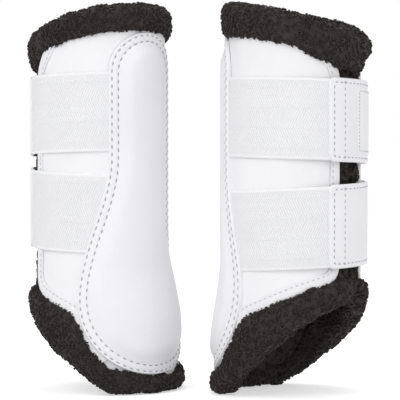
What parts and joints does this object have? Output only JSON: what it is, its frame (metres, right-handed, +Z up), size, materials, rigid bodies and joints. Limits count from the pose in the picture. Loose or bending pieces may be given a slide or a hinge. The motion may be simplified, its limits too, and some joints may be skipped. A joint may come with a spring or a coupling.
{
  "type": "horse tendon boots",
  "caption": "Mirrored pair of fleece-lined horse tendon boots, each with a padded strike guard and elastic straps that fold open on hook-and-loop tabs.",
  "frame": {"origin": "the middle of the pair's box, on the plane that the boots stand on", "axes": "+Z up along both leg spaces, +X from the left boot to the right boot, -Y towards the viewer"},
  "size_m": [0.2176, 0.127, 0.2485],
  "materials": {
    "white_shell": "smooth",
    "dark_fleece": "curly pile",
    "pad_skin": "smooth",
    "pad_foam": "foam",
    "white_elastic": "woven",
    "tab_leather": "smooth",
    "edge_binding": "smooth",
    "hook_tape": "hooks",
    "loop_tape": "loop pile",
    "woven_label": "woven"
  },
  "bodies": {
    "left_body": {"left_shell_body": "white_shell", "left_lining_body": "dark_fleece", "left_collar_body": "dark_fleece", "left_hem_body": "dark_fleece", "left_edge_fleece_body": "dark_fleece", "left_binding_body": "edge_binding", "left_strike_pad": "pad_skin", "left_strike_pad_foam": "pad_foam", "left_upper_loop": "loop_tape", "left_lower_loop": "loop_tape"},
    "left_flap": {"left_shell_flap": "white_shell", "left_lining_flap": "dark_fleece", "left_collar_flap": "dark_fleece", "left_hem_flap": "dark_fleece", "left_edge_fleece_flap": "dark_fleece", "left_binding_flap": "edge_binding"},
    "left_upper_strap": {"left_upper_elastic": "white_elastic"},
    "left_lower_strap": {"left_lower_elastic": "white_elastic"},
    "left_upper_tab": {"left_upper_tab": "tab_leather", "left_upper_hook": "hook_tape", "left_label": "woven_label"},
    "left_lower_tab": {"left_lower_tab": "tab_leather", "left_lower_hook": "hook_tape"},
    "right_body": {"right_shell_body": "white_shell", "right_lining_body": "dark_fleece", "right_collar_body": "dark_fleece", "right_hem_body": "dark_fleece", "right_edge_fleece_body": "dark_fleece", "right_binding_body": "edge_binding", "right_strike_pad": "pad_skin", "right_strike_pad_foam": "pad_foam", "right_upper_loop": "loop_tape", "right_lower_loop": "loop_tape"},
    "right_flap": {"right_shell_flap": "white_shell", "right_lining_flap": "dark_fleece", "right_collar_flap": "dark_fleece", "right_hem_flap": "dark_fleece", "right_edge_fleece_flap": "dark_fleece", "right_binding_flap": "edge_binding"},
    "right_upper_strap": {"right_upper_elastic": "white_elastic"},
    "right_lower_strap": {"right_lower_elastic": "white_elastic"},
    "right_upper_tab": {"right_upper_tab": "tab_leather", "right_upper_hook": "hook_tape", "right_label": "woven_label"},
    "right_lower_tab": {"right_lower_tab": "tab_leather", "right_lower_hook": "hook_tape"}
  },
  "joints": [
    {"name": "left_flap_fold", "type": "hinge", "parent": "left_body", "child": "left_flap", "pos_m": [-0.05431, -0.03299, 0.12], "axis": [0, 0, 1], "range_deg": [0, 45]},
    {"name": "left_upper_strap_fold", "type": "hinge", "parent": "left_flap", "child": "left_upper_strap", "pos_m": [-0.05507, -0.02866, 0.176], "axis": [0, 0, 1], "range_deg": [0, 60]},
    {"name": "left_upper_tab_peel", "type": "hinge", "parent": "left_upper_strap", "child": "left_upper_tab", "pos_m": [-0.10976, 0.01804, 0.176], "axis": [0, 0, 1], "range_deg": [0, 100]},
    {"name": "left_lower_strap_fold", "type": "hinge", "parent": "left_flap", "child": "left_lower_strap", "pos_m": [-0.05507, -0.02866, 0.109], "axis": [0, 0, 1], "range_deg": [0, 60]},
    {"name": "left_lower_tab_peel", "type": "hinge", "parent": "left_lower_strap", "child": "left_lower_tab", "pos_m": [-0.10976, 0.01804, 0.109], "axis": [0, 0, 1], "range_deg": [0, 100]},
    {"name": "right_boot_lift", "type": "slide", "parent": "left_body", "child": "right_body", "axis": [0, 0, 1], "range_m": [0, 0.26]},
    {"name": "right_flap_fold", "type": "hinge", "parent": "right_body", "child": "right_flap", "pos_m": [0.01335, -0.02911, 0.12], "axis": [0, 0, -1], "range_deg": [0, 45]},
    {"name": "right_upper_strap_fold", "type": "hinge", "parent": "right_flap", "child": "right_upper_strap", "pos_m": [0.01762, -0.02804, 0.176], "axis": [0, 0, -1], "range_deg": [0, 60]},
    {"name": "right_upper_tab_peel", "type": "hinge", "parent": "right_upper_strap", "child": "right_upper_tab", "pos_m": [0.08253, -0.059, 0.176], "axis": [0, 0, -1], "range_deg": [0, 100]},
    {"name": "right_lower_strap_fold", "type": "hinge", "parent": "right_flap", "child": "right_lower_strap", "pos_m": [0.01762, -0.02804, 0.109], "axis": [0, 0, -1], "range_deg": [0, 60]},
    {"name": "right_lower_tab_peel", "type": "hinge", "parent": "right_lower_strap", "child": "right_lower_tab", "pos_m": [0.08253, -0.059, 0.109], "axis": [0, 0, -1], "range_deg": [0, 100]}
  ]
}
